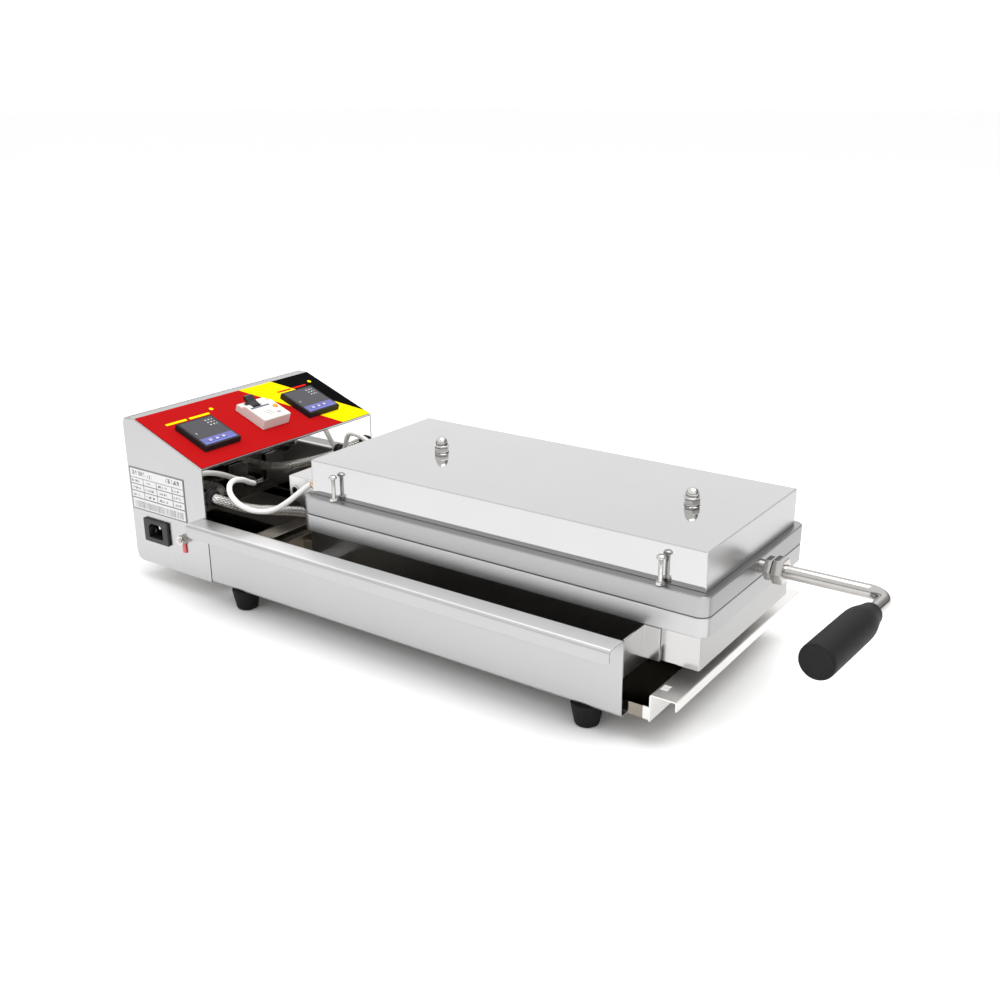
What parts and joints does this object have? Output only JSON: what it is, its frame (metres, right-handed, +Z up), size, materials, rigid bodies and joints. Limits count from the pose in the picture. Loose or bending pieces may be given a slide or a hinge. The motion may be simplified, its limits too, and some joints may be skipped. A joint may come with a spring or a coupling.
{
  "type": "double-plate waffle baker",
  "caption": "Countertop waffle baker: hinged upper mould with polished cover and side handle over a heated lower mould, with a drip tray and a sloped control box.",
  "frame": {"origin": "centre of the bounding box in X and Y, at the bottom of the feet", "axes": "+X from the control box towards the handle, +Y to the back right side seen from the handle end, +Z up"},
  "size_m": [0.7802, 0.304, 0.1865],
  "materials": {
    "steel": "polished sheet, fine grain",
    "mirror_steel": "mirror polished sheet",
    "hardware": "bright turned and rolled fasteners",
    "braid": "woven wire braid",
    "cast_aluminium": "machined and bead blasted casting",
    "element_sheath": "oxidised tube",
    "grip_rubber": "matt moulded",
    "black_rubber": "matt moulded",
    "white_sleeve": "woven glass sleeve",
    "overlay": "printed film",
    "label": "printed film",
    "red_sleeve": "heat-shrink sleeve",
    "black_plastic": "fine spark texture",
    "key_plastic": "film over key",
    "cream_plastic": "moulded",
    "orange_plastic": "moulded"
  },
  "bodies": {
    "base": {"base_panel_left": "steel", "base_panel_right": "steel", "end_wall": "steel", "rear_cross_rail": "steel", "dividing_wall": "steel", "control_hood": "steel", "box_floor": "steel", "relay_block": "black_plastic", "panel_overlay": "overlay", "rating_plate": "label", "controller_1": "black_plastic", "controller_2": "black_plastic", "breaker_body": "cream_plastic", "mains_inlet": "black_plastic", "earth_stud": "hardware", "earth_tag": "red_sleeve", "foot_1": "black_rubber", "foot_2": "black_rubber", "foot_3": "black_rubber", "foot_4": "black_rubber", "grommet_1": "black_rubber", "grommet_2": "black_rubber", "grommet_3": "black_rubber", "grommet_4": "black_rubber", "white_lead_left": "white_sleeve", "white_lead_right": "white_sleeve", "conduit_left": "braid", "conduit_right": "braid", "lower_heater_box": "steel", "lower_element": "element_sheath", "lower_mould_plate": "cast_aluminium", "lower_hinge_bar": "steel", "hinge_bolt_left": "hardware", "hinge_bolt_right": "hardware"},
    "upper_mould": {"upper_mould_plate": "cast_aluminium", "upper_cover": "mirror_steel", "upper_element": "element_sheath", "cap_nut_1": "hardware", "cap_nut_2": "hardware", "gap_screw_1": "hardware", "gap_screw_2": "hardware", "gap_screw_3": "hardware", "gap_screw_4": "hardware", "hinge_bracket_left": "steel", "hinge_bracket_right": "steel", "hinge_bridge": "steel", "handle_jam_nut": "hardware", "handle_coupling_nut": "hardware", "handle_rod": "hardware", "handle_grip": "grip_rubber"},
    "tray": {"drip_tray": "steel"},
    "breaker_lever": {"breaker_toggle": "black_plastic"},
    "test_button": {"breaker_test_button": "orange_plastic"},
    "controller_1_key_1": {"controller_1_key_1": "key_plastic"},
    "controller_1_key_2": {"controller_1_key_2": "key_plastic"},
    "controller_1_key_3": {"controller_1_key_3": "key_plastic"},
    "controller_2_key_1": {"controller_2_key_1": "key_plastic"},
    "controller_2_key_2": {"controller_2_key_2": "key_plastic"},
    "controller_2_key_3": {"controller_2_key_3": "key_plastic"}
  },
  "joints": [
    {"name": "mould_hinge", "type": "hinge", "parent": "base", "child": "upper_mould", "pos_m": [-0.19986, 0, 0.12075], "axis": [0, -1, 0], "range_deg": [0, 95], "deforming": ["white_lead_left", "white_lead_right"]},
    {"name": "tray_slide", "type": "slide", "parent": "base", "child": "tray", "axis": [1, 0, 0], "range_m": [0, 0.36]},
    {"name": "breaker_switch", "type": "hinge", "parent": "base", "child": "breaker_lever", "pos_m": [-0.32875, -0.003, 0.17453], "axis": [0, 1, 0], "range_deg": [0, 40]},
    {"name": "test_press", "type": "slide", "parent": "base", "child": "test_button", "axis": [-0.3513, 0, -0.9363], "range_m": [0, 0.0015], "stiffness_N_per_m": 800},
    {"name": "key_1_1_press", "type": "slide", "parent": "base", "child": "controller_1_key_1", "axis": [-0.3513, 0, -0.9363], "range_m": [0, 0.0006], "stiffness_N_per_m": 800},
    {"name": "key_1_2_press", "type": "slide", "parent": "base", "child": "controller_1_key_2", "axis": [-0.3513, 0, -0.9363], "range_m": [0, 0.0006], "stiffness_N_per_m": 800},
    {"name": "key_1_3_press", "type": "slide", "parent": "base", "child": "controller_1_key_3", "axis": [-0.3513, 0, -0.9363], "range_m": [0, 0.0006], "stiffness_N_per_m": 800},
    {"name": "key_2_1_press", "type": "slide", "parent": "base", "child": "controller_2_key_1", "axis": [-0.3513, 0, -0.9363], "range_m": [0, 0.0006], "stiffness_N_per_m": 800},
    {"name": "key_2_2_press", "type": "slide", "parent": "base", "child": "controller_2_key_2", "axis": [-0.3513, 0, -0.9363], "range_m": [0, 0.0006], "stiffness_N_per_m": 800},
    {"name": "key_2_3_press", "type": "slide", "parent": "base", "child": "controller_2_key_3", "axis": [-0.3513, 0, -0.9363], "range_m": [0, 0.0006], "stiffness_N_per_m": 800}
  ]
}
